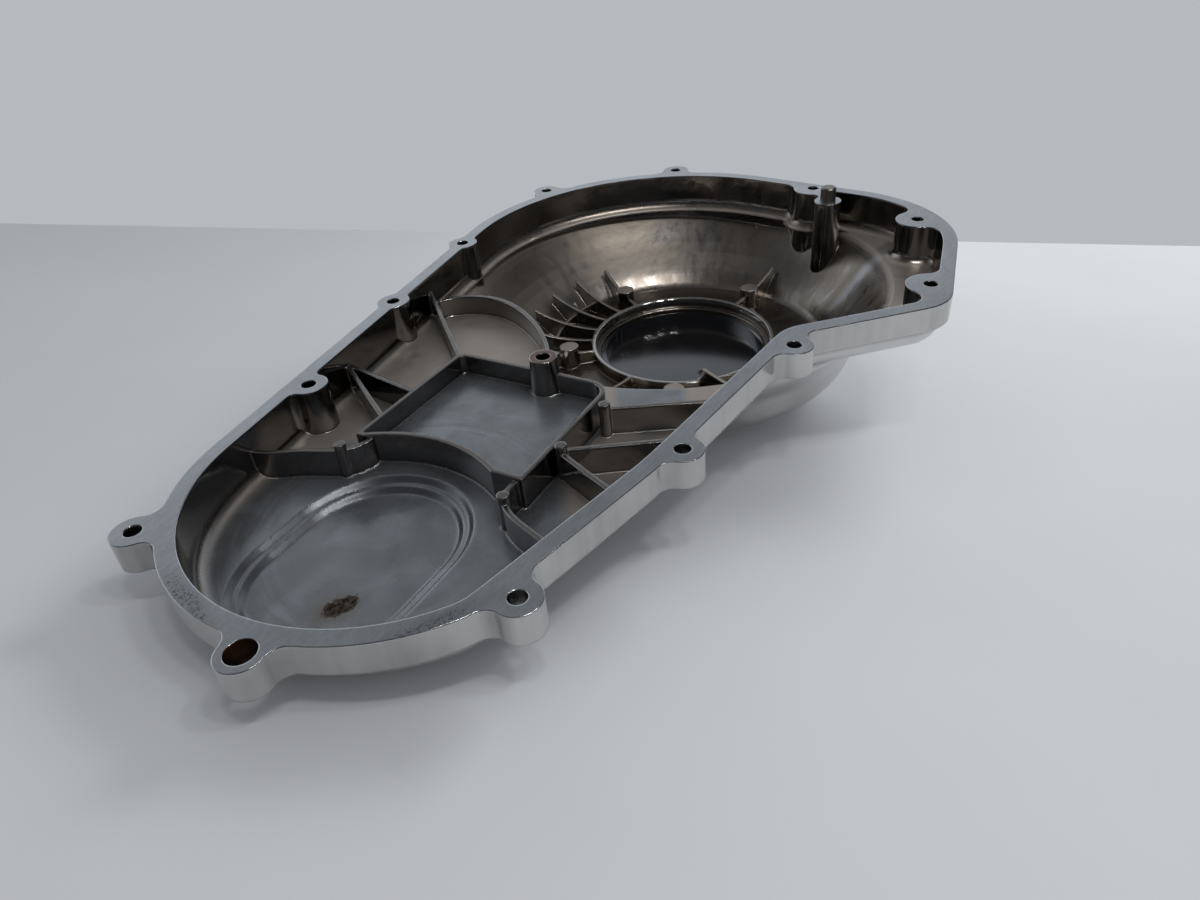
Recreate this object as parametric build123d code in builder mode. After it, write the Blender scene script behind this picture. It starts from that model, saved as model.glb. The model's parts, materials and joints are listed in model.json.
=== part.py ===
# Outer primary cover: a plated die casting that closes a chain case, seen lying on its outer face.
# Plan positions are measured on the joint face, and depths go down from it into the casting.

import os
from math import acos, asin, atan2, cos, degrees, hypot, radians, sin
from build123d import *

# Outline of the joint face
engine = (-150.3, 22.0)
engine_radius = 97.0
clutch = (120.0, 21.0)
clutch_radius = 140.0
pocket_corners = [(237.0, -142.0), (90.0, -163.5), (30.0, -98.3)]
pocket_radii = [92.0, 26.0, 14.0]
waist = [(-215.0, -57.2), (-101.0, -82.0)]
waist_radii = [30.0, 150.0]
land_width = 8.3

# Screw ears and pillars round the joint face
ears = [(-223.6, 98.9), (-189.9, -69.2), (-85.3, -85.9), (18.6, -100.8), (257.0, 74.2), (187.5, 151.1)]
pillars = [(78.9, 151.9), (-11.0, 137.9), (-105.5, 115.2)]
corner_pillars = [(110.7, -148.4), (204.7, -121.0), (244.2, -40.0)]
shaft_ear = (-251.2, 4.3)
ear_radius = 9.7
corner_pillar_radius = 13.6
ear_depth = 14.5
ear_blend = 7.0
pillar_blend = 4.0
corner_blend = 9.0
screw_bore = 3.9
shaft_bore = 6.1

# Depths of the casting below the joint face
wall = 4.5
rim_depth = 13.0
web_depth = 25.0
foot_blend = 6.5
skirt_inset = 3.8
skirt_depth = 30.5
skirt_blend = 17.0
engine_face = (-157.0, 24.0)
engine_face_depth = 34.0
engine_face_radius = 76.0
engine_face_blend = 3.0

# Clutch bowl and the round opening in its floor
opening = (117.0, 7.8)
bowl_top = (122.2, 17.1)
bowl_depth = 72.5
bowl_sections = [(0.0, 141.5), (0.053, 137.0), (0.168, 131.0), (0.568, 114.0), (1.0, 96.0)]
shell_sections = [(-0.105, 138.5), (0.105, 138.5), (0.232, 134.5), (0.568, 120.0)]
shell_foot = 100.5
bowl_blend = 8.0
shell_blend = 4.0
lip_height = 8.0
lip_radius = 58.8
lip_wall = 2.7
seat_radius = 55.6
seat_height = 1.5

# Access cover, its seal and its screws
cover_radius = 84.0
cover_thickness = 5.5
cover_edge = 2.0
spigot_gap = 0.3
spigot_height = 4.0
spigot_wall = 3.0
spigot_recess = 1.5
seal_radius = 68.0
seal_width = 3.0
seal_height = 2.0
cover_screws = 5
cover_screw_turn = -15.0
cover_screw_circle = 77.6
cover_screw_radius = 3.0
cover_screw_length = 17.0
cover_screw_gap = 0.05
cover_hole_gap = 0.4
screw_end_gap = 1.5
head_radius = 5.6
head_height = 3.2
head_gap = 0.3
head_socket = 2.6
head_socket_depth = 1.8
blind_boss_radius = 6.3
blind_boss_height = 14.0

# Chamber at the small end
chamber_step = (-178.2, 27.0)
chamber_step_length = 27.0
chamber_step_radius = 44.0
chamber_step_width = 5.0
chamber_step_depth = 2.6
chamber_slope = 2.6

# Tray in the middle
tray_right = -36.0
tray_top = 71.0
tray_bottom = -25.5
tray_left = -122.0
tray_arc = (-183.5, 28.8)
tray_arc_radius = 72.0
tray_corner = 13.0
tray_small_corner = 6.0
tray_depth = 9.0
tray_floor_depth = 19.5
rib = 2.6

# Hub boss on the edge of the tray
hub = (-37.4, 14.9)
hub_radius = 7.3
hub_foot_radius = 9.0
hub_bore = 3.9

# Ribs, as pairs of ends on the joint face plan, and the posts at their meetings
rib_depth = 10.5
ribs = [
    ((-152.0, 114.0), (-148.5, 101.0), (-141.5, 88.0), (-133.9, 70.2), (-120.5, 63.0)),
    ((-121.5, -22.0), (-135.9, -25.0), (-150.0, -52.0), (-158.0, -66.0)),
    ((-94.6, -27.0), (-60.0, -84.0)),
    ((-94.6, -27.0), (-110.3, -61.4), (-116.0, -75.0)),
    ((-56.3, -29.0), (-44.0, -50.0), (-24.0, -88.0)),
    ((-68.0, 127.0), (-103.7, 70.0)),
    ((-68.0, 127.0), (-77.7, 70.0)),
    ((-38.5, 70.0), (26.0, 142.0)),
]
posts = [(-133.9, 70.2), (-135.9, -25.0), (-94.6, -29.0), (-56.3, -31.0)]
post_radius = 2.9
post_depth = 7.0

# Pocket between the tray and the bowl
pocket_wall = [(20.0, 131.0), (36.0, 112.0), (36.5, 92.0), (26.0, 68.0), (8.0, 45.0), (-28.0, 18.0)]
pocket_wall_depth = 13.0
pocket_wall_width = 3.4
pocket_lean = 12.0
pocket_foot = 31.0
pocket_back = (-30.0, 72.0)

# Gussets between the lip and the slope of the bowl, one behind each blind boss and a row of others
gusset_angles = [71.4, 85.8, 100.2, 114.6, 172.0]
gusset_height = 19.5
gusset_length = 48.5
gusset_sag = 3.5
gusset_width = 2.2
gusset_tie_start = gusset_angles[0]
gusset_tie_arc = gusset_angles[3] - gusset_tie_start
gusset_tie_radius = 87.0
gusset_tie_height = 8.0
front_web = [(68.0, -26.0), (35.3, -83.4)]
front_web_height = 18.5
front_web_corner = 5.0

# Locating pin and the half pillar that it stands in
pin = (222.5, -57.0)
pin_radius = 5.2
pin_seat_radius = 5.4
pin_proud = 9.5
pin_seat = 14.0
pin_pillar_radius = 9.0
pin_chamfer = 0.8

# How the casting lies on the edge of its access cover and on the face of its small end
cover_top = bowl_depth + wall
total_depth = cover_top + cover_thickness
small_rest = engine_face[0] - engine_face_radius + engine_face_blend
big_rest = opening[0] - cover_radius + cover_edge
lie_angle = degrees(atan2(total_depth - engine_face_depth, big_rest - small_rest))
lie_lift = engine_face_depth * cos(radians(lie_angle)) - small_rest * sin(radians(lie_angle))
ends = shaft_ear[0] - ear_radius, ears[4][0] + ear_radius
middle = (sum(ends) * cos(radians(lie_angle)) + ear_depth * sin(radians(lie_angle))) / 2
joint = Plane(
    origin=(-middle, 0, lie_lift),
    x_dir=(cos(radians(lie_angle)), 0, sin(radians(lie_angle))),
    z_dir=(-sin(radians(lie_angle)), 0, cos(radians(lie_angle))),
)
joint_axis = Axis(joint.origin, joint.z_dir)
opening_axis = Axis(joint.from_local_coords((*opening, 0)), joint.z_dir)


def level(depth):
    """Plane parallel to the joint face, this far down into the casting."""
    return joint.offset(-depth)


def around(centre, radius, angle):
    """Point on a circle, by its angle in degrees."""
    return (centre[0] + radius * cos(radians(angle)), centre[1] + radius * sin(radians(angle)))


def tangent_point(point, centre, radius, side):
    """Where a line from the point touches the circle, on its left (1) or right (-1) side."""
    run = (point[0] - centre[0], point[1] - centre[1])
    turn = degrees(acos(radius / hypot(*run)))
    return around(centre, radius, degrees(atan2(run[1], run[0])) + side * turn)


def upright(point, angle):
    """Upright plane through a point of the plan, with X at this angle and Y up."""
    return joint * Location((*point, 0), (0, 0, angle)) * Location((0, 0, 0), (90, 0, 0))


def bowl_level(share):
    """Depth at a share of the way from the web down to the floor of the bowl."""
    return web_depth + share * (bowl_depth - web_depth)


def bowl_centre(depth):
    """Centre of the leaning bowl at this depth, on a line that ends over the opening."""
    share = (depth - web_depth) / (bowl_depth - web_depth)
    return tuple(top + share * (low - top) for top, low in zip(bowl_top, opening))


def gap(vertex, point):
    """Plan distance between a vertex and a point."""
    return hypot(vertex.X - point[0], vertex.Y - point[1])


boss_angles = [cover_screw_turn + n * 360 / cover_screws for n in range(cover_screws)]
boss_spots = [around(opening, cover_screw_circle, angle) for angle in boss_angles]
lip_depth = bowl_depth - lip_height
os.makedirs("parts", exist_ok=True)

# Outline of the casting without its ears
long_side = degrees(asin((clutch_radius - engine_radius) / (clutch[0] - engine[0])))
waist_middle = ((waist[0][0] + waist[1][0]) / 2, (waist[0][1] + waist[1][1]) / 2)
outline_points = [
    around(engine, engine_radius, 90 + long_side),
    around(clutch, clutch_radius, 90 + long_side),
    clutch,
    tangent_point(pocket_corners[0], clutch, clutch_radius, 1),
    *pocket_corners,
    waist[1],
    waist_middle,
    engine,
]
with BuildSketch() as outline:
    with BuildLine():
        Polyline(*outline_points, close=True)
    make_face()
    for corner, radius in zip(pocket_corners, pocket_radii):
        fillet(outline.vertices().sort_by(lambda v: gap(v, corner))[0], radius)
    with Locations(engine):
        Circle(engine_radius)
    with Locations(clutch):
        Circle(clutch_radius)
    with BuildLine():
        Polyline(*waist, (waist[1][0], pocket_corners[1][1]), (waist[0][0], pocket_corners[1][1]), close=True)
    make_face(mode=Mode.SUBTRACT)
    for corner, radius in zip(waist, waist_radii):
        fillet(outline.vertices().sort_by(lambda v: gap(v, corner))[0], radius)

# Joint face with its ears
with BuildSketch() as ear_outline:
    add(outline.sketch)
    with Locations(*ears, shaft_ear, *pillars):
        Circle(ear_radius)
    offset(amount=ear_blend, mode=Mode.REPLACE)
    offset(amount=-ear_blend, mode=Mode.REPLACE)

# Line of the inner walls, drawn in round the large pillars of the corners
with BuildSketch() as wall_outline:
    add(outline.sketch)
    offset(amount=-land_width, mode=Mode.REPLACE)
    with Locations(*corner_pillars):
        Circle(corner_pillar_radius, mode=Mode.SUBTRACT)
    offset(amount=-corner_blend, mode=Mode.REPLACE)
    offset(amount=corner_blend, mode=Mode.REPLACE)

# Opening inside the joint face, drawn in where the smaller pillars stand too
with BuildSketch() as room_outline:
    add(wall_outline.sketch)
    with Locations(*pillars):
        Circle(ear_radius, mode=Mode.SUBTRACT)
    with Locations(pin):
        Circle(pin_pillar_radius, mode=Mode.SUBTRACT)
    offset(amount=-pillar_blend, mode=Mode.REPLACE)
    offset(amount=pillar_blend, mode=Mode.REPLACE)

# Tray outline: straight on three sides, and curved round the chamber on the fourth
with BuildSketch() as tray_outline:
    with Locations(((tray_left + tray_right) / 2, (tray_bottom + tray_top) / 2)):
        Rectangle(tray_right - tray_left, tray_top - tray_bottom)
    with Locations(tray_arc):
        Circle(tray_arc_radius, mode=Mode.SUBTRACT)
    fillet(tray_outline.vertices().sort_by(lambda v: gap(v, (tray_right, tray_bottom)))[0], tray_corner)
    fillet(tray_outline.vertices().sort_by(lambda v: gap(v, (tray_right, tray_top)))[0], tray_small_corner)

# Outer form: skirt, web, face of the small end and bowl
with BuildPart() as envelope:
    with BuildSketch(level(0)):
        add(outline.sketch)
        offset(amount=-skirt_inset, mode=Mode.REPLACE)
    extrude(amount=-skirt_depth)
    fillet(envelope.edges().group_by(joint_axis)[0], skirt_blend)
    with BuildSketch(level(web_depth)):
        with Locations(engine_face):
            Circle(engine_face_radius)
    extrude(amount=web_depth - engine_face_depth)
    fillet(envelope.edges().group_by(joint_axis)[0], engine_face_blend)
    with BuildSketch(level(0)):
        add(outline.sketch)
    extrude(amount=-rim_depth)
    with BuildSketch(level(0)):
        add(ear_outline.sketch)
    extrude(amount=-ear_depth)

# Outside of the bowl, which leans towards the opening
with BuildPart() as shell:
    shell_rings = [(bowl_level(share), radius) for share, radius in shell_sections]
    for depth, radius in shell_rings + [(cover_top, shell_foot)]:
        with BuildSketch(level(depth)):
            with Locations(bowl_centre(depth)):
                Circle(radius)
    loft()
    fillet(shell.edges().group_by(joint_axis)[0], shell_blend)

# Inside of the bowl, which ends at the walls of the casting
with BuildPart() as bowl:
    for share, radius in bowl_sections:
        with BuildSketch(level(bowl_level(share))):
            with Locations(bowl_centre(bowl_level(share))):
                Circle(radius)
    loft()
    fillet(bowl.edges().group_by(joint_axis)[0], bowl_blend)
    with BuildSketch(level(0)):
        add(room_outline.sketch)
    extrude(amount=-bowl_depth, mode=Mode.INTERSECT)

# Room inside the casting, less the ribs, posts, bosses and lip that stand in it
with BuildPart() as room:
    with BuildSketch(level(0)):
        add(wall_outline.sketch)
    extrude(amount=-web_depth)
    fillet(room.edges().group_by(joint_axis)[0], foot_blend)
    with BuildSketch(level(0)):
        add(room_outline.sketch)
    extrude(amount=-web_depth, mode=Mode.INTERSECT)
    # Recess in the floor of the small end, in two steps with sloping sides
    for step in range(2):
        radius = chamber_step_radius - step * chamber_step_width
        for drop, inset in ((step, 0), (step + 1, chamber_slope)):
            with BuildSketch(level(web_depth + drop * chamber_step_depth)):
                with Locations(chamber_step):
                    SlotCenterToCenter(chamber_step_length, 2 * (radius - inset))
        loft()
    add(bowl.part)
    # Pocket beside the bowl: a dish with a steep side towards the opening
    for depth, lean in ((pocket_wall_depth, 0), (web_depth + pocket_foot, pocket_lean)):
        with BuildSketch(level(depth)):
            with BuildLine():
                Spline(*[(x + lean, y) for x, y in pocket_wall])
                Polyline(
                    (pocket_wall[-1][0] + lean, pocket_wall[-1][1]),
                    (pocket_back[0] + lean, pocket_back[1]),
                    (pocket_wall[0][0] + lean, pocket_wall[0][1]),
                )
            make_face()
    loft(mode=Mode.SUBTRACT)
    with BuildSketch(level(pocket_wall_depth)):
        with BuildLine():
            Spline(*[(x - pocket_wall_width, y) for x, y in pocket_wall])
            Polyline(
                (pocket_wall[-1][0] - pocket_wall_width, pocket_wall[-1][1]),
                pocket_back,
                (pocket_wall[0][0] - pocket_wall_width, pocket_wall[0][1]),
            )
        make_face()
    extrude(amount=pocket_wall_depth - web_depth)
    # Tray
    with BuildSketch(level(tray_depth)):
        add(tray_outline.sketch)
    extrude(amount=-web_depth, mode=Mode.SUBTRACT)
    with BuildSketch(level(tray_depth)):
        add(tray_outline.sketch)
        offset(amount=-rib, mode=Mode.REPLACE)
    extrude(amount=tray_depth - tray_floor_depth)
    # Ribs and posts
    for points in ribs:
        with BuildSketch(level(rib_depth)):
            with BuildLine():
                if len(points) > 2:
                    Spline(*points)
                else:
                    Line(*points)
            trace(line_width=rib)
        extrude(amount=rib_depth - web_depth - wall, mode=Mode.SUBTRACT)
    with BuildSketch(level(post_depth)):
        with Locations(*posts):
            Circle(post_radius)
    extrude(amount=post_depth - web_depth - wall, mode=Mode.SUBTRACT)
    with BuildSketch(level(0)):
        with Locations(hub):
            Circle(hub_radius)
    with BuildSketch(level(web_depth)):
        with Locations(hub):
            Circle(hub_foot_radius)
    loft(mode=Mode.SUBTRACT)
    # Lip of the opening, blind bosses and gussets
    with BuildSketch(level(lip_depth)):
        with Locations(opening):
            Circle(lip_radius + lip_wall)
    extrude(amount=lip_depth - bowl_depth, mode=Mode.SUBTRACT)
    with BuildSketch(level(bowl_depth - blind_boss_height)):
        with Locations(*boss_spots):
            Circle(blind_boss_radius)
    extrude(amount=-blind_boss_height, mode=Mode.SUBTRACT)
    for angle in gusset_angles + boss_angles:
        with BuildSketch(upright(opening, angle)):
            with BuildLine():
                near, far = (lip_radius, -lip_depth), (lip_radius + gusset_length, gusset_height - bowl_depth)
                middle_height = (near[1] + far[1]) / 2 - gusset_sag
                ThreePointArc(near, ((near[0] + far[0]) / 2, middle_height), far)
                Polyline(far, (far[0], -bowl_depth), (near[0], -bowl_depth), near)
            make_face()
        extrude(amount=gusset_width / 2, both=True, mode=Mode.SUBTRACT)
    with BuildSketch(level(bowl_depth)):
        with BuildLine():
            CenterArc(opening, gusset_tie_radius, gusset_tie_start, gusset_tie_arc)
        trace(line_width=gusset_width)
    extrude(amount=gusset_tie_height, mode=Mode.SUBTRACT)
    # Web from the lip to the front slope of the bowl
    run = (front_web[1][0] - front_web[0][0], front_web[1][1] - front_web[0][1])
    with BuildSketch(upright(front_web[0], degrees(atan2(run[1], run[0])))):
        with BuildLine():
            top = front_web_height - bowl_depth
            Polyline(
                (0, -bowl_depth),
                (0, top - front_web_corner),
                (front_web_corner, top),
                (hypot(*run), top),
                (hypot(*run), -bowl_depth),
                close=True,
            )
        make_face()
    extrude(amount=gusset_width / 2, both=True, mode=Mode.SUBTRACT)
    with BuildSketch(level(lip_depth)):
        with Locations(opening):
            Circle(lip_radius)
    extrude(amount=seat_height - lip_height)
    with BuildSketch(level(lip_depth)):
        with Locations(opening):
            Circle(seat_radius)
    extrude(amount=lip_depth - cover_top)

with BuildPart() as primary_cover:
    add(envelope.part)
    add(shell.part)
    add(room.part, mode=Mode.SUBTRACT)
    # Screw holes
    with BuildSketch(level(0)):
        with Locations(*ears, *pillars, *corner_pillars, hub):
            Circle(screw_bore)
        with Locations(shaft_ear):
            Circle(shaft_bore)
    extrude(amount=-engine_face_depth, mode=Mode.SUBTRACT)
    with BuildSketch(level(cover_top)):
        with Locations(*boss_spots):
            Circle(cover_screw_radius + cover_screw_gap)
    extrude(amount=cover_screw_length - cover_thickness, mode=Mode.SUBTRACT)
    with BuildSketch(level(0)):
        with Locations(pin):
            Circle(pin_seat_radius)
    extrude(amount=-pin_seat, mode=Mode.SUBTRACT)
primary_cover.part.label = "primary_cover"
export_step(primary_cover.part, "parts/primary_cover.step")

# Round cover that closes the opening from outside, with a spigot ring that enters the seat
cover_bottom = total_depth
spigot_radius = seat_radius - spigot_gap
with BuildPart() as clutch_access_cover:
    with BuildSketch(upright(opening, 0)):
        with BuildLine():
            Polyline(
                (0, -cover_top - spigot_recess),
                (spigot_radius - spigot_wall, -cover_top - spigot_recess),
                (spigot_radius - spigot_wall, -cover_top + spigot_height),
                (spigot_radius, -cover_top + spigot_height),
                (spigot_radius, -cover_top),
                (seal_radius, -cover_top),
                (seal_radius, -cover_top - seal_height),
                (seal_radius + seal_width, -cover_top - seal_height),
                (seal_radius + seal_width, -cover_top),
                (cover_radius, -cover_top),
                (cover_radius, -cover_bottom + cover_edge),
                (cover_radius - cover_edge, -cover_bottom),
                (0, -cover_bottom),
                close=True,
            )
        make_face()
    revolve(axis=opening_axis)
    with BuildSketch(level(cover_bottom)):
        with Locations(*boss_spots):
            Circle(head_radius + head_gap)
    extrude(amount=head_height, mode=Mode.SUBTRACT)
    with BuildSketch(level(cover_bottom)):
        with Locations(*boss_spots):
            Circle(cover_screw_radius + cover_hole_gap)
    extrude(amount=cover_thickness, mode=Mode.SUBTRACT)
clutch_access_cover.part.label = "clutch_access_cover"
export_step(clutch_access_cover.part, "parts/clutch_access_cover.step")

# Seal ring in the groove of the access cover
with BuildPart() as access_cover_seal:
    with BuildSketch(level(cover_top)):
        with Locations(opening):
            Circle(seal_radius + seal_width)
            Circle(seal_radius, mode=Mode.SUBTRACT)
    extrude(amount=-seal_height)
access_cover_seal.part.label = "access_cover_seal"
export_step(access_cover_seal.part, "parts/access_cover_seal.step")

# Screws of the access cover, one to each blind boss
for number, spot in enumerate(boss_spots, 1):
    with BuildPart() as access_cover_screw:
        with BuildSketch(level(cover_bottom)):
            with Locations(spot):
                Circle(head_radius)
        extrude(amount=head_height)
        with BuildSketch(level(cover_bottom)):
            with Locations(spot):
                Circle(cover_screw_radius)
        extrude(amount=cover_screw_length - screw_end_gap)
        with BuildSketch(level(cover_bottom)):
            with Locations(spot):
                RegularPolygon(head_socket, 6)
        extrude(amount=head_socket_depth, mode=Mode.SUBTRACT)
    access_cover_screw.part.label = f"access_cover_screw_{number}"
    export_step(access_cover_screw.part, f"parts/access_cover_screw_{number}.step")

# Pin that locates the casting on its mate
with BuildPart() as locating_pin:
    with BuildSketch(level(pin_seat)):
        with Locations(pin):
            Circle(pin_seat_radius)
    extrude(amount=pin_seat)
    with BuildSketch(level(0)):
        with Locations(pin):
            Circle(pin_radius)
    extrude(amount=pin_proud)
    chamfer(locating_pin.edges().group_by(joint_axis)[-1], pin_chamfer)
locating_pin.part.label = "locating_pin"
export_step(locating_pin.part, "parts/locating_pin.step")
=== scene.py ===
"""Finishes and stage for an outer primary cover that lies on its outer face.

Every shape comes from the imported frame. This file gives each piece its finish, and adds the
floor, the lamps and the camera.
"""

import json
import math

import bpy
from bpy.props import FloatProperty, FloatVectorProperty, PointerProperty
from mathutils import Matrix, Vector

bl_info = {
    "name": "Primary cover finishes",
    "version": (1, 0, 0),
    "blender": (4, 5, 0),
    "location": "3D View > Sidebar > Cover",
    "description": "Finishes of a plated chain case cover, with a pale floor, lamps and a camera",
    "category": "Material",
}

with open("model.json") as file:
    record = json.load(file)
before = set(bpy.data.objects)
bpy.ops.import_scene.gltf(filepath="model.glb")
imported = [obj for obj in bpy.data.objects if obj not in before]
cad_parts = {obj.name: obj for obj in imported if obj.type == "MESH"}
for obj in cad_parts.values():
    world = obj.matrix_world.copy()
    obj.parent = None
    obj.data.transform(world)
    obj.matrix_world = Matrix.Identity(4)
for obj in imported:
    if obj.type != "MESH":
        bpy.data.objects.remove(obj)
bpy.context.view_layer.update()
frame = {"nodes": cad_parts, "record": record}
MM_PER_M = 1000.0

# The joint face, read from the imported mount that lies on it: its way up, its two plan
# directions and the origin of its plan. FACE_PLACE is where the mount lies on that plan.
FACE = next(mount for mount in frame["record"]["mounts"] if mount["name"] == "gasket_face")
FACE_PLACE = (0.120, 0.1566)
UP = Vector(FACE["axis"]).normalized()
ALONG = Vector((UP.z, 0.0, -UP.x))
ACROSS = Vector((0.0, 1.0, 0.0))
ORIGIN = Vector(FACE["pos_m"]) - FACE_PLACE[0] * ALONG - FACE_PLACE[1] * ACROSS

# Outline on the plan, in millimetres: arcs as centre and radius, sides as a point and the way
# out. The corner's arc counts within a wedge about its way out, given by the wedge's cosine.
SMALL_END = (-150.3, 22.0, 97.0)
CLUTCH_END = (120.0, 21.0, 140.0)
POCKET_CORNER = (153.5, -61.2, 92.0)
POCKET_CORNER_WAY = (0.70, -0.71)
POCKET_CORNER_COSINE = 0.8
FAR_INSIDE = 200.0
LONG_SIDE = ((-165.7, 117.8), (-0.159, 0.987))
LOW_SIDE = ((-101.0, -82.0), (-0.1235, -0.9923))
WAIST = ((-215.0, -57.2), (-24.8, -114.0))
POCKET_FRONT = ((90.0, -163.5), (0.1447, -0.989))
POCKET_RIGHT = ((258.4, 0.0), (0.9888, -0.1495))
POCKET_LEFT = ((30.0, -98.3), (-0.736, -0.677))

# Places on the plan, in millimetres
OPENING = (117.0, 7.8)
OPENING_RADIUS = 62.1
CHAMBER = (-158.0, 24.0)
DOME = (-158.0, 28.0)
TRAY = (-79.0, 22.7)
TRAY_HALF = (45.0, 50.0)
TRAY_EDGE = (1.03, 0.97)
HUB = (-37.4, 14.9)
SHAFT_EAR = (-251.2, 4.3)

# Fades, each from where it is 0 to where it is 1. These run over the height above the joint
# face, in millimetres.
FACE_LAYER = (-0.5, -0.3)
RIB_TOPS = (-16.0, -14.0)
BAY_DEPTH = (-15.0, -17.0)
CHAMBER_DEPTH = (-18.0, -20.0)
LIP_TOP = (-50.0, -60.0)
LIP_FOOT = (-68.0, -67.0)
BOWL_DEPTH = (-60.0, -72.0)
# Painted shade: heights over which the dark patches in the bowl fade in
BOWL_SHADE_DEPTH = (-20.0, -32.0)
# Painted reflection: heights over which the pale streak in the bowl fades in
PAINTED_REFLECTION_DEPTH = (-18.0, -28.0)

# Fades over a distance on the plan, from the outline or from a place named above
OUTER_SIDE = (-6.0, -5.0)
CHAMBER_WALL = (84.0, 74.0)
TURNED_RING = (52.0, 66.0)
DOME_SLOPE = (27.0, 8.0)
HUB_HOLE = (7.6, 6.6)
EAR_HOLE = (7.4, 7.0)
LIP_THICKNESS = (OPENING_RADIUS + 0.5, OPENING_RADIUS)
OILY_RING = (22.0, 10.0)
OILY_RING_RADIUS = 70.0

# Fades over how far a surface faces up: 1 is level and up, 0 is upright and -1 is down
FACE_UP = (0.6, 0.8)
LEVEL = (0.70, 0.90)
MOULDED_UP = (0.25, 0.45)
SLOPING_UP = (0.3, 0.6)
UPRIGHT = (0.45, 0.15)
BORE_SIDE = (0.5, 0.3)
DOWN = (-0.04, -0.10)
WELL_DOWN = (-0.15, -0.35)
RIGHT_UNDER = (-0.3, -0.6)

# Cosine between soft and true normals at which an edge's painted highlight shows, and how far the
# painted shade of corners and of walls reaches, in metres
EDGE_BEND = (0.97, 0.86)
CORNER_REACH = 0.006
WALL_REACH = 0.03

# Patches on the plan, as centre, half length, half width, turn in degrees and softness
WEB_FLOOR = ((-14.0, -34.0), 46.0, 22.0, 30.0, 0.3)
# Painted shade: two dark patches in the bowl
SHADE_BEHIND_PIN = ((217.0, -40.0), 52.0, 26.0, 64.0, 0.9)
SHADE_IN_FRONT = ((168.0, -72.0), 26.0, 20.0, 30.0, 0.9)
# Painted reflection: a pale streak in the bowl
PAINTED_REFLECTION = ((191.0, -92.0), 30.0, 9.0, -54.0, 0.95)
SCORCH = ((-203.0, 17.0), 16.0, 13.0, -30.0, 0.9)
BURN = ((-200.5, 15.5), 13.5, 8.5, -32.0, 0.9)
RUBBED_LEFT = ((-243.0, 42.0), 48.0, 10.0, 70.0, 0.8)
RUBBED_FRONT = ((-215.0, -48.0), 38.0, 8.0, -30.0, 0.8)

# Shades of the plating, its dirt and its wear, and shades that paint light and shade onto it
# Painted light: level floors of the bays made paler
BAY_FLOOR_PAINTED_LIGHT = (0.54, 0.485, 0.43)
# Painted shade: upright inner walls made darker
UPRIGHT_WALL_SHADE = (0.24, 0.238, 0.24)
DARK_CLOUD = (0.25, 0.258, 0.27)
# Painted shade: floors made darker near walls
NEAR_WALL_SHADE = (0.12, 0.124, 0.13)
# Painted shade: slopes of the moulded steps made darker
MOULDED_SLOPE_SHADE = (0.15, 0.156, 0.165)
# Painted shade: dark patches in the bowl
BOWL_PAINTED_SHADE = (0.12, 0.108, 0.096)
# Painted reflection: a pale streak in the bowl
BOWL_PAINTED_REFLECTION = (0.80, 0.81, 0.84)
BURNT_OIL = (0.17, 0.14, 0.115)
OPENING_LIP = (0.62, 0.60, 0.58)
# Painted shade: tops of the ribs made darker
RIB_TOP_SHADE = (0.16, 0.16, 0.165)
SCORCHED = (0.25, 0.20, 0.155)
CHARRED = (0.018, 0.014, 0.011)
ASH = (0.15, 0.115, 0.085)
# Painted shade: corners and creases made near black
CORNER_SHADE = (0.045, 0.038, 0.032)
OUTER_HAZE = (0.60, 0.60, 0.59)
# Painted light: the underside made paler
UNDERSIDE_PAINTED_LIGHT = (0.66, 0.66, 0.65)
LIGHT_FACE = (0.56, 0.585, 0.61)
RUBBED_GREY = (0.16, 0.165, 0.17)
RUBBED_SPECKS = (0.045, 0.045, 0.048)
# Painted shade: the inside of bores made near black
BORE_SHADE = (0.012, 0.011, 0.010)
# Painted highlight: bright edges
EDGE_HIGHLIGHT = (0.85, 0.85, 0.85)

# Shades of the other pieces
COVER_BLUE = (0.22, 0.23, 0.245)
COVER_GREY = (0.30, 0.30, 0.30)
COVER_OUTSIDE = (0.66, 0.67, 0.68)
RUBBER = (0.018, 0.018, 0.018)
RUBBER_DUST = (0.04, 0.038, 0.036)
SCREW_STEEL = (0.62, 0.62, 0.63)
SCREW_LIGHT = (0.75, 0.75, 0.76)
PIN_OIL = (0.16, 0.145, 0.13)
PIN_STEEL = (0.34, 0.31, 0.28)


class Value:
    """A socket of a finish, so that shader maths reads as plain expressions."""

    def __init__(self, recipe, socket):
        self.recipe = recipe
        self.socket = socket

    def maths(self, operation, *others):
        """A Math node of this value and others."""
        inputs = dict(enumerate((self, *others)))
        return self.recipe.node("ShaderNodeMath", {"operation": operation}, inputs)

    def __add__(self, other):
        return self.maths("ADD", other)

    __radd__ = __add__

    def __mul__(self, other):
        return self.maths("MULTIPLY", other)

    __rmul__ = __mul__

    def __sub__(self, other):
        return self.maths("SUBTRACT", other)

    def __rsub__(self, other):
        return self.recipe.node("ShaderNodeMath", {"operation": "SUBTRACT"}, {0: other, 1: self})

    def __truediv__(self, other):
        return self.maths("DIVIDE", other)

    def least(self, other):
        """The smaller of the two."""
        return self.maths("MINIMUM", other)

    def most(self, other):
        """The larger of the two."""
        return self.maths("MAXIMUM", other)

    def size(self):
        """The value without its sign."""
        return self.maths("ABSOLUTE")

    def ramp(self, start, end):
        """0 before start and 1 after end, with a soft step between; start may be over end."""
        low, high, first, last = start, end, 0.0, 1.0
        if start > end:
            low, high, first, last = end, start, 1.0, 0.0
        inputs = {"Value": self, "From Min": low, "From Max": high, "To Min": first, "To Max": last}
        return self.recipe.node("ShaderNodeMapRange", {"interpolation_type": "SMOOTHSTEP"}, inputs)


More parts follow.
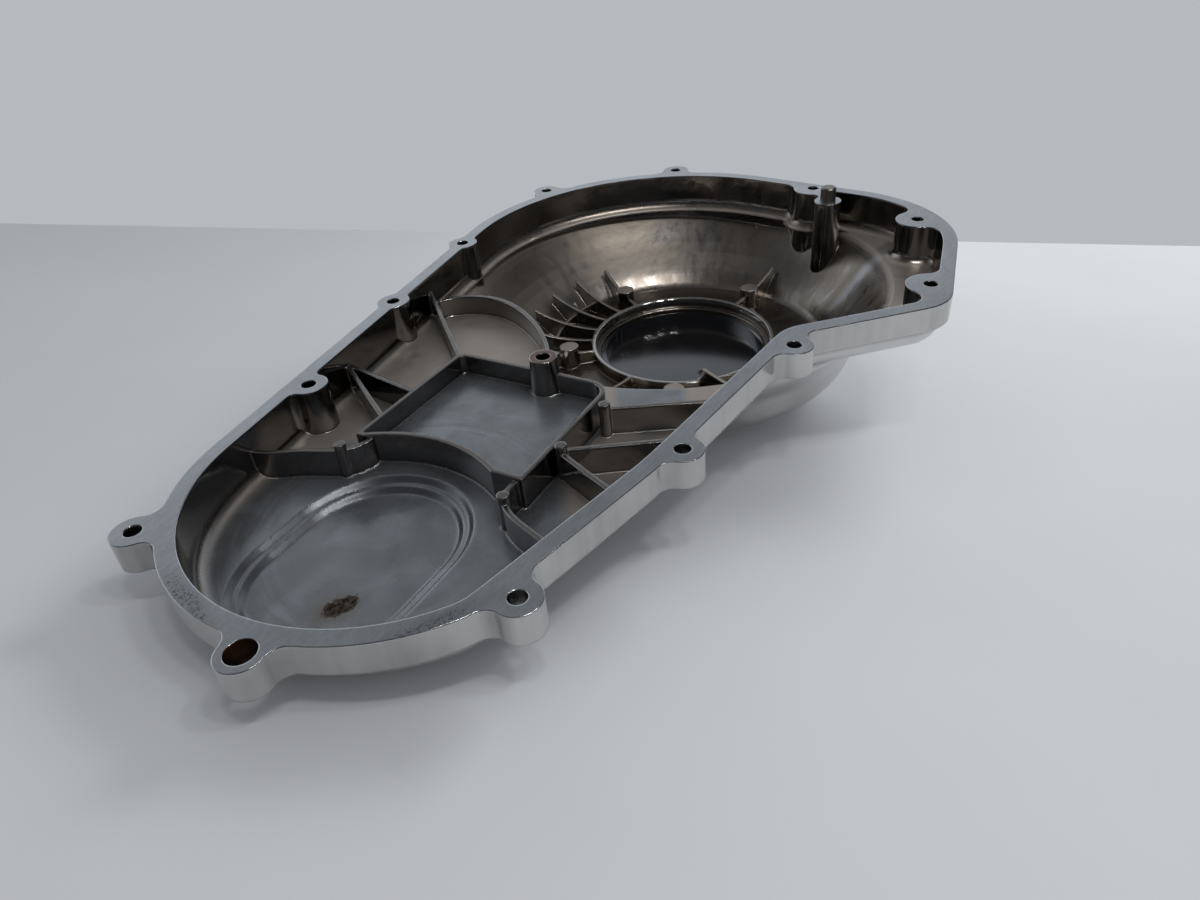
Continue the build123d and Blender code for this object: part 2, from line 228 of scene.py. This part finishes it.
class Recipe:
    """The node tree of one material or world."""

    def __init__(self, owner):
        owner.use_nodes = True
        self.tree = owner.node_tree
        self.tree.nodes.clear()

    def node(self, kind, settings=None, inputs=None, output=0):
        """Adds a node, makes its settings first, and then fills its sockets.

        Gives one of its outputs, or nothing for a node that has none.
        """
        made = self.tree.nodes.new(kind)
        for name, value in (settings or {}).items():
            setattr(made, name, value)
        for name, value in (inputs or {}).items():
            if isinstance(value, Value):
                self.tree.links.new(value.socket, made.inputs[name])
            else:
                made.inputs[name].default_value = value
        return Value(self, made.outputs[output]) if made.outputs else None

    def blend(self, share, first, second):
        """Mix of two colours, each a triple or the colour of a node."""
        first, second = (
            shade if isinstance(shade, Value) else (*shade, 1.0) for shade in (first, second)
        )
        return self.node("ShaderNodeMix", {"data_type": "RGBA"}, {0: share, 6: first, 7: second}, 2)

    def vector(self, operation, inputs, output="Vector"):
        """A Vector Math node."""
        return self.node("ShaderNodeVectorMath", {"operation": operation}, inputs, output)

    def tint(self, shade, factor):
        """A colour made lighter or darker by a number."""
        return self.vector("SCALE", {0: shade, "Scale": factor})

    def along(self, vector, direction):
        """Length of a vector along a direction."""
        return self.vector("DOT_PRODUCT", {0: vector, 1: direction}, "Value")

    def stretched(self, vector, factors):
        """A place stretched by three factors, which draws noise out into streaks."""
        return self.vector("MULTIPLY", {0: vector, 1: factors})

    def joined(self, **parts):
        """A vector put together from its parts."""
        return self.node("ShaderNodeCombineXYZ", None, parts, "Vector")

    def noise(self, vector, scale, detail=3.0, roughness=0.5, distortion=0.0):
        """Cloudy noise over a place, mostly between 0.3 and 0.7."""
        inputs = {
            "Vector": vector,
            "Scale": scale,
            "Detail": detail,
            "Roughness": roughness,
            "Distortion": distortion,
        }
        return self.node("ShaderNodeTexNoise", None, inputs, "Fac")

    def bevel(self, radius, samples):
        """Normals softened over edges by this radius."""
        return self.node("ShaderNodeBevel", {"samples": samples}, {"Radius": radius}, "Normal")

    def shelter(self, distance):
        """1 in the open and less in corners, seen over this distance."""
        settings = {"samples": 6, "only_local": True}
        return self.node("ShaderNodeAmbientOcclusion", settings, {"Distance": distance}, "AO")

    def ray(self, kind):
        """1 for rays of this kind."""
        return self.node("ShaderNodeLightPath", None, None, kind)


class Plan:
    """Where a shaded point lies on the joint face plan, in millimetres, and how it faces."""

    def __init__(self, recipe):
        place = recipe.node("ShaderNodeTexCoord", None, None, "Object")
        self.normal = recipe.node("ShaderNodeNewGeometry", None, None, "True Normal")
        self.x = (recipe.along(place, ALONG) - ORIGIN.dot(ALONG)) * MM_PER_M
        self.y = (recipe.along(place, ACROSS) - ORIGIN.dot(ACROSS)) * MM_PER_M
        self.height = (recipe.along(place, UP) - ORIGIN.dot(UP)) * MM_PER_M
        self.facing = recipe.along(self.normal, UP)
        self.flat = recipe.joined(X=self.x, Y=self.y, Z=self.height)

    def reach(self, centre):
        """Distance from a point of the plan."""
        dx, dy = self.x - centre[0], self.y - centre[1]
        return (dx * dx + dy * dy).maths("SQRT")

    def past(self, point, outward):
        """Distance past a line through a point, outwards."""
        size = math.hypot(*outward)
        a, b = outward[0] / size, outward[1] / size
        return self.x * a + self.y * b - (point[0] * a + point[1] * b)

    def patch(self, centre, long_half, short_half, turn, soft):
        """1 inside a turned oval on the plan, with a soft edge."""
        turn = math.radians(turn)
        along = self.past(centre, (math.cos(turn), math.sin(turn))) / long_half
        across = self.past(centre, (-math.sin(turn), math.cos(turn))) / short_half
        return (along * along + across * across).maths("SQRT").ramp(1.0, 1.0 - soft)

    def past_outline(self):
        """Distance outside the outline of the casting, taken without its ears."""
        small = self.reach(SMALL_END) - SMALL_END[2]
        large = self.reach(CLUTCH_END) - CLUTCH_END[2]
        sides = self.past(*LONG_SIDE).most(self.past(*LOW_SIDE))
        middle = sides.most(self.x - CLUTCH_END[0]).most(SMALL_END[0] - self.x)

        sides = self.past(*POCKET_FRONT).most(self.past(*POCKET_RIGHT))
        pocket = sides.most(self.past(*POCKET_LEFT)).most(self.y - CLUTCH_END[1])
        corner_reach = self.reach(POCKET_CORNER)
        way_out = self.past(POCKET_CORNER, POCKET_CORNER_WAY)
        ahead = way_out - corner_reach * POCKET_CORNER_COSINE
        corner = (corner_reach - POCKET_CORNER[2]) * ahead.ramp(-0.5, 0.5)
        corner = corner - FAR_INSIDE * ahead.ramp(0.5, -0.5)

        body = small.most(self.past(*WAIST)).least(middle).least(large)
        return body.least(pocket.most(corner))


def metal(recipe, **sockets):
    """Principled shader and output; an underscore in a socket's name stands for a space."""
    inputs = {name.replace("_", " "): value for name, value in sockets.items()}
    inputs.setdefault("Metallic", 1.0)
    shader = recipe.node("ShaderNodeBsdfPrincipled", None, inputs, "BSDF")
    recipe.node("ShaderNodeOutputMaterial", None, {"Surface": shader})


def finish(name):
    """A new material and its recipe."""
    material = bpy.data.materials.new(name)
    return material, Recipe(material)


def dress(node, material):
    """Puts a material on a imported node, in each of its slots."""
    piece = frame["nodes"][node]
    if not piece.material_slots:
        piece.data.materials.append(material)
    for slot in piece.material_slots:
        slot.material = material


def swatch(name, description, default):
    """A colour that a user can set."""
    return FloatVectorProperty(
        name=name, description=description, subtype="COLOR", default=default
    )


class CastingFinish(bpy.types.PropertyGroup):
    face_colour: swatch("Joint face", "Colour of the machined face", (0.43, 0.452, 0.475))
    band_colour: swatch("Outer plating", "Colour of the plated outside", (0.42, 0.418, 0.405))
    inside_colour: swatch("Inside plating", "Colour of the smoky inner walls", (0.41, 0.40, 0.385))
    stain_colour: swatch("Oil stain", "Colour of the brown film inside", (0.37, 0.32, 0.27))
    floor_colour: swatch("Inner floors", "Colour of the blue-grey floors", (0.37, 0.40, 0.43))
    rust_colour: swatch("Rust", "Colour of the rust on hub and shaft ear", (0.16, 0.07, 0.032))
    edge_radius: FloatProperty(
        name="Edge radius",
        description="Softness of the joint face's edges in the shading",
        default=0.0008,
        unit="LENGTH",
    )


class StageSettings(bpy.types.PropertyGroup):
    floor_colour: swatch("Floor", "Colour of the floor", (0.565, 0.58, 0.602))
    backdrop_colour: swatch("Backdrop", "Colour behind the floor", (0.46, 0.49, 0.52))
    floor_end: FloatProperty(
        name="Floor end",
        description="Distance of the floor's far edge from the camera",
        default=1.03,
        unit="LENGTH",
    )
    focal_length: FloatProperty(
        name="Focal length",
        description="Lens of the camera on a 36 mm wide film",
        default=25.8,
        subtype="DISTANCE_CAMERA",
    )


class CastingLook:
    """Places, patterns and wear of the casting's finish, the light and shade painted on it, and
    what its shader takes from them.
    """

    # Heights of the relief, in steps of relief_unit
    relief_unit = 0.0006
    relief_strength = 0.3
    dome_height = 5.0
    grain_height = 0.06
    scratch_height = 0.2
    char_height = 2.0

    def __init__(self, recipe, wanted):
        self.recipe = recipe
        self.wanted = wanted
        self.plan = Plan(recipe)
        self.find_places()
        self.draw_patterns()
        self.find_wear_and_painted_light()

    def find_places(self):
        """Masks of where each finish lies."""
        plan, height, facing = self.plan, self.plan.height, self.plan.facing
        self.on_face = height.ramp(*FACE_LAYER) * facing.ramp(*FACE_UP)
        self.off_face = 1.0 - self.on_face
        past_wall = plan.past_outline().ramp(*OUTER_SIDE)
        self.outside = past_wall.most(facing.ramp(*DOWN)) * self.off_face

        self.level = facing.ramp(*LEVEL)
        self.deep = height.ramp(*BOWL_DEPTH)
        self.rib_top = self.level * height.ramp(*RIB_TOPS) * self.off_face
        self.floors = self.level * height.ramp(*BAY_DEPTH) * (1.0 - self.deep)
        self.chamber = plan.reach(CHAMBER).ramp(*CHAMBER_WALL) * height.ramp(*CHAMBER_DEPTH)
        self.moulded = facing.ramp(*MOULDED_UP) * self.chamber
        tray_x = (plan.x - TRAY[0]).size() / TRAY_HALF[0]
        tray_y = (plan.y - TRAY[1]).size() / TRAY_HALF[1]
        tray = tray_x.most(tray_y).ramp(*TRAY_EDGE)
        self.blue = self.moulded.most(self.floors * tray.most(plan.patch(*WEB_FLOOR)))
        self.brown = 1.0 - self.blue

        lip_heights = height.ramp(*LIP_FOOT) * height.ramp(*LIP_TOP)
        self.lip = plan.reach(OPENING).ramp(*LIP_THICKNESS) * lip_heights

    def draw_patterns(self):
        """Clouds, streaks, rings and rays."""
        recipe, plan = self.recipe, self.plan
        flat = plan.flat
        self.clouds = recipe.noise(flat, scale=0.018, detail=4.0, roughness=0.55)
        self.smoke = recipe.noise(flat, scale=0.045, distortion=0.6)
        self.swirl = recipe.noise(flat, scale=0.03, detail=2.0, distortion=1.6)
        self.grain = recipe.noise(flat, scale=0.9, detail=2.0)
        self.speckle = recipe.noise(flat, scale=0.8, detail=5.0, roughness=0.75)
        self.char = recipe.noise(flat, scale=0.4, detail=5.0, roughness=0.72)
        self.streaks = recipe.noise(recipe.stretched(flat, (1.0, 1.0, 0.06)), scale=0.22)

        # Rings left by turning round the small end, and rays that fan out from the opening
        turned = recipe.joined(X=plan.reach(SMALL_END) * 0.3, Y=plan.x * 0.035, Z=plan.y * 0.035)
        self.rings = recipe.noise(turned, scale=1.0, roughness=0.6)
        angle = (plan.y - OPENING[1]).maths("ARCTAN2", plan.x - OPENING[0])
        fanned = recipe.joined(X=angle * 6.0, Y=plan.reach(OPENING) * 0.03)
        self.rays = recipe.noise(fanned, scale=2.2, detail=4.0, roughness=0.65, distortion=0.6)
        self.film = (self.clouds * 0.8 + self.smoke * 0.5 + self.rays * 0.6 - 0.45).ramp(0.20, 0.62)

    def find_wear_and_painted_light(self):
        """Soft edges, how closed in corners are for painted shade, the burnt spot, rust and painted
        highlights on edges.
        """
        recipe, plan = self.recipe, self.plan
        roundness = 1.0 + self.off_face * 1.1 + self.moulded * 1.2
        self.soft_normal = recipe.bevel(roundness * self.wanted.edge_radius, samples=8)
        edge = recipe.along(self.soft_normal, plan.normal).ramp(*EDGE_BEND)
        # How closed in each point is, which paints shade into corners and bores
        self.corner = recipe.shelter(CORNER_REACH)

        burn = plan.patch(*BURN) * self.blue
        self.charred = (burn * 1.3 + self.char * 2.0 - 1.45).ramp(0.0, 0.30) * burn.ramp(0.0, 0.15)
        self.rusty_ear = plan.reach(SHAFT_EAR).ramp(*EAR_HOLE) * self.off_face
        # Painted highlight: edges made bright, most on the outside and the joint face
        highlight_share = 0.14 + self.outside.most(self.on_face) * 0.50
        self.edge_highlight = edge * highlight_share * (1.0 - self.rusty_ear)

    def inner_walls(self):
        """Smoky plating with a brown film, and painted light and shade on it: paler level floors,
        darker upright walls, dark patches in the bowl and a pale painted reflection.
        """
        blend, wanted, height = self.recipe.blend, self.wanted, self.plan.height
        walls = blend(self.film, wanted.inside_colour, wanted.stain_colour)
        # Painted light: level floors of the bays made paler than the walls
        walls = blend(self.floors * 0.85, walls, BAY_FLOOR_PAINTED_LIGHT)
        # Painted shade: upright walls made darker, but not deep in the bowl
        upright = self.plan.facing.ramp(*UPRIGHT) * (1.0 - self.deep)
        walls = blend(upright * 0.8, walls, UPRIGHT_WALL_SHADE)
        # Painted shade: two dark patches in the bowl, away from the joint face
        bowl_shade = self.plan.patch(*SHADE_BEHIND_PIN).most(self.plan.patch(*SHADE_IN_FRONT))
        walls = blend(bowl_shade * 0.75 * height.ramp(*BOWL_SHADE_DEPTH), walls, BOWL_PAINTED_SHADE)
        # Painted reflection: a pale streak on the bowl
        painted_reflection = self.plan.patch(*PAINTED_REFLECTION) * height.ramp(*PAINTED_REFLECTION_DEPTH)
        return blend(painted_reflection * 0.8, walls, BOWL_PAINTED_REFLECTION)

    def inner_floors(self):
        """Cloudy blue-grey plating, with painted shade near walls and on the slopes of the moulded
        steps.
        """
        blend = self.recipe.blend
        turning = self.plan.reach(SMALL_END).ramp(*TURNED_RING) * self.chamber
        pools = self.swirl + self.grain * 0.15 + (self.rings - 0.5) * turning * 1.6 - 0.05
        plated = blend(pools.ramp(0.2, 0.8) * 0.7, self.wanted.floor_colour, DARK_CLOUD)
        # Painted shade: floors darker where walls close them in
        near_wall_shade = self.recipe.shelter(WALL_REACH).ramp(0.80, 0.35)
        plated = blend(near_wall_shade * 0.75, plated, NEAR_WALL_SHADE)
        # Painted shade: slopes of the moulded steps made darker than their level parts
        return blend(self.moulded * (1.0 - self.level) * 0.6, plated, MOULDED_SLOPE_SHADE)

    def inside(self):
        """The whole inside, with its oil and burnt spot, and painted shade on rib tops and in
        corners.
        """
        blend, plan = self.recipe.blend, self.plan
        shade = blend(self.blue, self.inner_walls(), self.inner_floors())
        around = (plan.reach(OPENING) - OILY_RING_RADIUS).size().ramp(*OILY_RING) * self.deep
        shade = blend(around * 0.6, shade, BURNT_OIL)
        shade = blend(self.lip, shade, OPENING_LIP)
        # Painted shade: tops of the ribs made darker
        shade = blend(self.rib_top * 0.6, shade, RIB_TOP_SHADE)
        shade = blend(plan.patch(*SCORCH) * self.blue * 0.7, shade, SCORCHED)
        shade = blend(self.charred, shade, blend(self.char.ramp(0.42, 0.62), CHARRED, ASH))
        # Painted shade: darker where corners close the surface in
        return blend(self.corner.ramp(0.72, 0.30) * 0.55, shade, CORNER_SHADE)

    def outer_plating(self):
        """Cloudy plating with faint upright streaks, and painted light that makes the underside
        paler.
        """
        blend = self.recipe.blend
        haze = (self.clouds * 0.9 + self.streaks * 0.35 - 0.22).ramp(0.10, 0.65)
        band = blend(haze, self.wanted.band_colour, OUTER_HAZE)
        # Painted light: surfaces facing down made paler
        return blend(self.plan.facing.ramp(*WELL_DOWN) * 0.8, band, UNDERSIDE_PAINTED_LIGHT)

    def joint_face(self):
        """Satin face with scuffs, dark rubbed marks that break up into specks, and hub rust."""
        recipe, plan, wanted = self.recipe, self.plan, self.wanted
        clouds, speckle = self.clouds, self.speckle
        face = recipe.blend((clouds * 1.2 - 0.3).ramp(0.1, 0.7), wanted.face_colour, LIGHT_FACE)
        marks = plan.patch(*RUBBED_LEFT).most(plan.patch(*RUBBED_FRONT))
        face = recipe.blend(marks * clouds.ramp(0.3, 0.6) * 0.35, face, RUBBED_GREY)
        specks = (marks * 0.36 + speckle * 1.5 - 1.0).ramp(0.10, 0.24)
        face = recipe.blend(specks * 0.75, face, RUBBED_SPECKS)
        drawn_out = recipe.stretched(plan.flat, (0.12, 0.5, 1.0))
        scuffs = recipe.noise(drawn_out, scale=0.9, detail=5.0, roughness=0.75, distortion=0.6)
        face = recipe.tint(face, 0.50 + scuffs * 0.65 + speckle * 0.40)
        hub_rust = plan.reach(HUB).ramp(*HUB_HOLE) * (self.smoke * 1.6 - 0.1).ramp(0.45, 0.75)
        return recipe.blend(hub_rust * 0.8, face, wanted.rust_colour)

    def colours(self):
        """Inside, outside and joint face, then painted shade in bores with rust in the shaft ear's
        bore, and painted highlights on edges.
        """
        blend = self.recipe.blend
        shade = blend(self.outside, self.inside(), self.outer_plating())
        shade = blend(self.on_face, shade, self.joint_face())
        steep = self.plan.facing.size().ramp(*BORE_SIDE)
        # Painted shade: steep, closed-in faces of the outside, such as bores, made near black; the
        # shaft ear also gets real rust
        shaded_bore = self.corner.ramp(0.95, 0.65) * self.outside * steep
        rust = (self.smoke * 2.0 - 0.6).ramp(0.2, 0.7) * self.rusty_ear
        bore_shade_and_rust = blend(rust, BORE_SHADE, self.wanted.rust_colour)
        shade = blend(shaded_bore.most(self.rusty_ear), shade, bore_shade_and_rust)
        # Painted highlight: bright edges
        return blend(self.edge_highlight, shade, EDGE_HIGHLIGHT)

    def roughness(self):
        """Near mirrors inside, with duller floors and rays; satin on the joint face."""
        walls = 0.05 + self.smoke * 0.06 + self.film * 0.08
        blue_floors = self.blue * (0.08 + self.swirl * 0.10)
        bay_floors = self.floors * self.brown * 0.14
        bowl_rays = self.plan.facing.ramp(*SLOPING_UP) * (self.rays * 0.26 + 0.05) * self.brown
        inside = walls + blue_floors + bay_floors + bowl_rays
        outside = 0.10 + self.clouds * 0.22
        rough = inside + self.outside * (outside - inside)
        rough = rough + self.on_face * (0.24 + self.speckle * 0.14 - rough)
        rough = rough + self.charred * 0.4 + self.rusty_ear * 0.4
        return rough * (1.0 - self.edge_highlight * 0.6) * (1.0 - self.lip * 0.75)

    def metallic(self):
        """Full metal, but for a thin dull film on the inner floors."""
        film = (self.blue * 0.10).most(self.floors * (0.12 + self.film * 0.08))
        return 1.0 - film * (1.0 - self.outside) * self.off_face

    def relief(self):
        """Normals with a shallow dome, a ripple in the plating, scratches and a rough burn."""
        recipe, plan = self.recipe, self.plan
        dome = plan.reach(DOME).ramp(*DOME_SLOPE) * self.blue * self.chamber
        ripple = recipe.noise(plan.flat, scale=0.10, detail=2.0)
        ripple = ripple * self.off_face * (0.9 - self.moulded * 0.5)
        drawn_out = recipe.stretched(plan.flat, (1.0, 0.08, 1.0))
        scratch = recipe.noise(drawn_out, scale=1.4, detail=2.0) * self.on_face
        height = dome * self.dome_height + ripple + self.grain * self.grain_height
        height = height + scratch * self.scratch_height
        height = height + self.charred * self.char * self.char_height
        inputs = {
            "Strength": self.relief_strength,
            "Distance": self.relief_unit,
            "Height": height,
            "Normal": self.soft_normal,
        }
        return recipe.node("ShaderNodeBump", None, inputs, "Normal")


class COVER_OT_casting(bpy.types.Operator):
    """Finish the casting: machined joint face, cloudy outside, smoky and stained inside, with
    painted light and shade.
    """

    bl_idname = "cover.casting"
    bl_label = "Casting"

    def execute(self, context):
        material, recipe = finish("plated_casting")
        look = CastingLook(recipe, context.scene.cover_casting)
        metal(
            recipe,
            Base_Color=look.colours(),
            Metallic=look.metallic(),
            Roughness=look.roughness(),
            Normal=look.relief(),
        )
        dress("primary_cover", material)
        return {"FINISHED"}


class COVER_OT_access_cover(bpy.types.Operator):
    """Finish the round access cover: a dark mirror inside, bright plating outside."""

    bl_idname = "cover.access_cover"
    bl_label = "Access cover"

    def execute(self, context):
        material, recipe = finish("access_cover_plate")
        plan = Plan(recipe)
        smoke = recipe.noise(plan.flat, scale=0.05, distortion=0.5)
        shade = recipe.blend(smoke, COVER_BLUE, COVER_GREY)
        shade = recipe.blend(plan.facing.ramp(*RIGHT_UNDER), shade, COVER_OUTSIDE)
        metal(recipe, Base_Color=shade, Roughness=0.07 + smoke * 0.08)
        dress("clutch_access_cover", material)
        return {"FINISHED"}


class COVER_OT_seal(bpy.types.Operator):
    """Finish the seal ring of the access cover: black rubber with a little dust."""

    bl_idname = "cover.seal"
    bl_label = "Seal"

    def execute(self, context):
        material, recipe = finish("seal_rubber")
        dust = recipe.noise(Plan(recipe).flat, scale=0.4)
        shade = recipe.blend(dust, RUBBER, RUBBER_DUST)
        metal(recipe, Base_Color=shade, Roughness=0.5 + dust * 0.2, Metallic=0.0)
        dress("access_cover_seal", material)
        return {"FINISHED"}


class COVER_OT_screws(bpy.types.Operator):
    """Finish the screws of the access cover: bright steel."""

    bl_idname = "cover.screws"
    bl_label = "Screws"

    screw_count = 5

    def execute(self, context):
        material, recipe = finish("screw_steel")
        cloud = recipe.noise(Plan(recipe).flat, scale=0.25)
        shade = recipe.blend(cloud, SCREW_STEEL, SCREW_LIGHT)
        metal(recipe, Base_Color=shade, Roughness=0.14 + cloud * 0.14)
        for number in range(1, self.screw_count + 1):
            dress(f"access_cover_screw_{number}", material)
        return {"FINISHED"}


class COVER_OT_pin(bpy.types.Operator):
    """Finish the locating pin: dark steel with oil on it."""

    bl_idname = "cover.pin"
    bl_label = "Locating pin"

    edge_radius = 0.0006

    def execute(self, context):
        material, recipe = finish("pin_steel")
        oil = recipe.noise(recipe.stretched(Plan(recipe).flat, (1.0, 1.0, 0.2)), scale=0.4)
        shade = recipe.blend(oil, PIN_OIL, PIN_STEEL)
        soft = recipe.bevel(self.edge_radius, samples=4)
        metal(recipe, Base_Color=shade, Roughness=0.22 + oil * 0.2, Normal=soft)
        dress("locating_pin", material)
        return {"FINISHED"}


class COVER_OT_stage(bpy.types.Operator):
    """Make the pale floor, the light from all round, the lamps and the camera."""

    bl_idname = "cover.stage"
    bl_label = "Stage"

    # Camera on the joint face plan, in metres, and its right and up in the scene
    camera_place = (-0.3587, -0.2150, 0.2150)
    camera_right = Vector((0.48568608, -0.87411267, 0.00632867))
    camera_up = Vector((0.3831725, 0.21939922, 0.89724253))
    film_width = 36.0
    near_limit = 0.01

    # Floor, measured from the ground under the camera; its far edge runs at a slant
    floor_near = -3.0
    floor_half = 4.0
    floor_slant = 0.055

    # Lamps that leave no glint, as name, way ahead, to the right and up, size and power
    aim = Vector((0.0, 0.0, 0.05))
    plain_lamps = (
        ("key", 0.75, 0.85, 0.80, (0.6, 0.5), 9.5),
        ("low fill", -0.5, 1.1, 0.20, (0.5, 0.2), 3.2),
    )

    # Small lamps that the plating mirrors, at turns from straight ahead to the right
    ceiling_turns = (122.0, 148.0, 172.0)
    ceiling_reach = 0.60
    ceiling_height = 1.0
    ceiling_size = (0.11, 0.08)
    ceiling_power = 1.15

    # Light of the room: what the plating mirrors, and the even light on everything else. The
    # pale wall stands ahead and to the left, and fades out to its sides and with height.
    room_turn = 0.47
    ceiling_fade = (0.05, 0.55)
    wall_fade = (0.25, 0.75)
    wall_top_fade = (0.72, 0.44)
    room_dark = (0.045, 0.046, 0.05)
    room_ceiling = (0.20, 0.21, 0.225)
    room_wall = (0.72, 0.755, 0.80)
    room_light = (0.42, 0.425, 0.44)

    def make_camera(self, context, wanted):
        """Camera at the photograph's place over the joint face; gives its place and ways."""
        lens = bpy.data.cameras.new("camera")
        lens.sensor_width = self.film_width
        lens.sensor_fit = "HORIZONTAL"
        lens.lens = wanted.focal_length
        lens.clip_start = self.near_limit
        right, up = self.camera_right, self.camera_up
        back = right.cross(up)
        turn = Matrix((right, up, back)).transposed().to_4x4()
        x, y, z = self.camera_place
        camera = bpy.data.objects.new("camera", lens)
        camera.matrix_world = Matrix.Translation(ORIGIN + x * ALONG + y * ACROSS + z * UP) @ turn
        context.scene.collection.objects.link(camera)
        context.scene.camera = camera
        ahead = Vector((-back.x, -back.y, 0.0)).normalized()
        return camera.matrix_world.translation, ahead, Vector((ahead.y, -ahead.x, 0.0))

    def make_floor(self, context, wanted, eye, ahead, side):
        """Floor that ends where the photograph's backdrop begins."""
        ground = Vector((eye.x, eye.y, 0.0))
        half = self.floor_half * side
        near = ground + self.floor_near * ahead
        far = ground + wanted.floor_end * ahead
        slant = self.floor_half * self.floor_slant * ahead
        corners = (near - half, near + half, far - slant + half, far + slant - half)
        mesh = bpy.data.meshes.new("floor")
        mesh.from_pydata([tuple(corner) for corner in corners], [], [(0, 1, 2, 3)])
        floor = bpy.data.objects.new("floor", mesh)
        context.scene.collection.objects.link(floor)

        material, recipe = finish("pale_floor")
        place = recipe.node("ShaderNodeTexCoord", None, None, "Object")
        wash = recipe.noise(place, scale=2.6, detail=4.0, roughness=0.55)
        tone = recipe.tint(wanted.floor_colour, 0.90 + wash * 0.20)
        metal(recipe, Base_Color=tone, Roughness=0.45 + wash * 0.1, Metallic=0.0)
        mesh.materials.append(material)

    def make_lamp(self, context, name, place, size, power, mirrored):
        """Area lamp turned to the cover; one that isn't mirrored leaves no glint."""
        data = bpy.data.lights.new(name, "AREA")
        data.shape = "RECTANGLE"
        data.size, data.size_y = size
        data.energy = power
        lamp = bpy.data.objects.new(name, data)
        lamp.location = place
        lamp.rotation_euler = (place - self.aim).to_track_quat("Z", "Y").to_euler()
        lamp.visible_glossy = mirrored
        context.scene.collection.objects.link(lamp)

    def make_surroundings(self, context, wanted, ahead, side):
        """Light from all round: pale low down ahead of the camera, dim elsewhere."""
        world = bpy.data.worlds.new("surroundings")
        context.scene.world = world
        recipe = Recipe(world)
        way = recipe.node("ShaderNodeTexCoord", None, None, "Generated")
        front = recipe.along(way, (ahead - self.room_turn * side).normalized())
        rise = recipe.along(way, (0.0, 0.0, 1.0))
        room = recipe.blend(front.ramp(*self.ceiling_fade), self.room_dark, self.room_ceiling)
        wall = front.ramp(*self.wall_fade) * rise.ramp(*self.wall_top_fade)
        room = recipe.blend(wall, room, self.room_wall)
        seen = recipe.blend(recipe.ray("Is Glossy Ray"), self.room_light, room)
        straight = recipe.ray("Is Camera Ray").most(recipe.ray("Is Transmission Ray"))
        seen = recipe.blend(straight, seen, wanted.backdrop_colour)
        inputs = {"Color": seen, "Strength": 1.0}
        light = recipe.node("ShaderNodeBackground", None, inputs, "Background")
        recipe.node("ShaderNodeOutputWorld", None, {"Surface": light})

    def execute(self, context):
        wanted = context.scene.cover_stage
        eye, ahead, side = self.make_camera(context, wanted)
        self.make_floor(context, wanted, eye, ahead, side)
        for name, forward, sideways, up, size, power in self.plain_lamps:
            place = self.aim + forward * ahead + sideways * side + Vector((0.0, 0.0, up))
            self.make_lamp(context, name, place, size, power, mirrored=False)
        for turn in self.ceiling_turns:
            turn = math.radians(turn)
            way = math.cos(turn) * ahead + math.sin(turn) * side
            place = self.aim + self.ceiling_reach * way + Vector((0.0, 0.0, self.ceiling_height))
            size, power = self.ceiling_size, self.ceiling_power
            self.make_lamp(context, "ceiling lamp", place, size, power, mirrored=True)
        self.make_surroundings(context, wanted, ahead, side)
        context.scene.view_settings.view_transform = "Standard"
        return {"FINISHED"}


class COVER_PT_sidebar(bpy.types.Panel):
    """Lists the finishes and the stage in the sidebar."""

    bl_label = "Primary cover"
    bl_idname = "COVER_PT_sidebar"
    bl_space_type = "VIEW_3D"
    bl_region_type = "UI"
    bl_category = "Cover"

    def draw(self, context):
        layout = self.layout
        for group, names in (
            (context.scene.cover_casting, CastingFinish.__annotations__),
            (context.scene.cover_stage, StageSettings.__annotations__),
        ):
            box = layout.box()
            for name in names:
                box.prop(group, name)
        for operator in OPERATORS:
            layout.operator(operator.bl_idname)


OPERATORS = (
    COVER_OT_casting,
    COVER_OT_access_cover,
    COVER_OT_seal,
    COVER_OT_screws,
    COVER_OT_pin,
    COVER_OT_stage,
)
CLASSES = (CastingFinish, StageSettings, *OPERATORS, COVER_PT_sidebar)


def register():
    for item in CLASSES:
        bpy.utils.register_class(item)
    bpy.types.Scene.cover_casting = PointerProperty(type=CastingFinish)
    bpy.types.Scene.cover_stage = PointerProperty(type=StageSettings)


def unregister():
    del bpy.types.Scene.cover_stage
    del bpy.types.Scene.cover_casting
    for item in reversed(CLASSES):
        bpy.utils.unregister_class(item)


def main():
    register()
    bpy.ops.cover.casting()
    bpy.ops.cover.access_cover()
    bpy.ops.cover.seal()
    bpy.ops.cover.screws()
    bpy.ops.cover.pin()
    bpy.ops.cover.stage()


if __name__ == "__main__":
    main()
